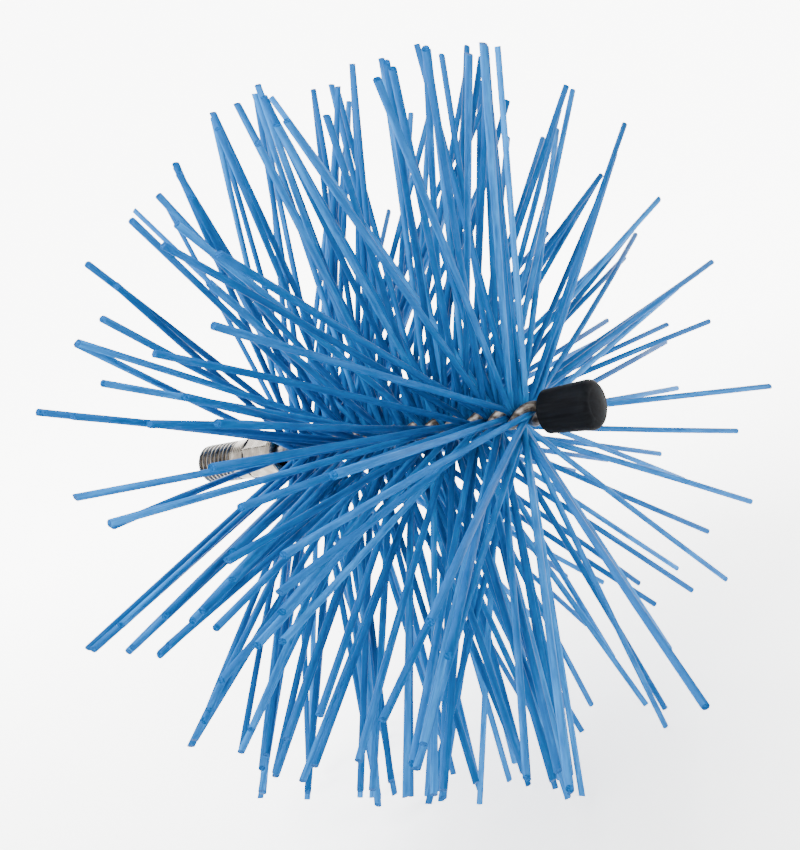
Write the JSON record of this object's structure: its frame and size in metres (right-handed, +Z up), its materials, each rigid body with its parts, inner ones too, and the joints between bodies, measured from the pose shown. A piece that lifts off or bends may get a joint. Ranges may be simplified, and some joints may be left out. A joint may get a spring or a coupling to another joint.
{
  "type": "chimney sweep brush",
  "caption": "Chimney sweep brush: blue plastic filaments in a twisted wire stem, with a threaded steel rod fitting and a black rubber end cap.",
  "frame": {"origin": "on the stem's axis, at the shoulder where the plain shank behind the rod thread meets the crimped barrel", "axes": "+X along the stem, from the rod thread to the rubber cap; +Z up; the stem lies level"},
  "size_m": [0.1852, 0.1931, 0.1922],
  "materials": {
    "zinc_plated_steel": "satin",
    "galvanised_wire": "dull",
    "blue_filament": "semi-gloss",
    "black_rubber": "satin"
  },
  "bodies": {
    "root": {"rod_fitting": "zinc_plated_steel", "stem_wire_1": "galvanised_wire", "stem_wire_2": "galvanised_wire", "filament_tuft_01": "blue_filament", "filament_tuft_02": "blue_filament", "filament_tuft_03": "blue_filament", "filament_tuft_04": "blue_filament", "filament_tuft_05": "blue_filament", "filament_tuft_06": "blue_filament", "filament_tuft_07": "blue_filament", "filament_tuft_08": "blue_filament", "filament_tuft_09": "blue_filament", "filament_tuft_10": "blue_filament", "filament_tuft_11": "blue_filament", "filament_tuft_12": "blue_filament", "end_cap": "black_rubber"}
  },
  "joints": []
}
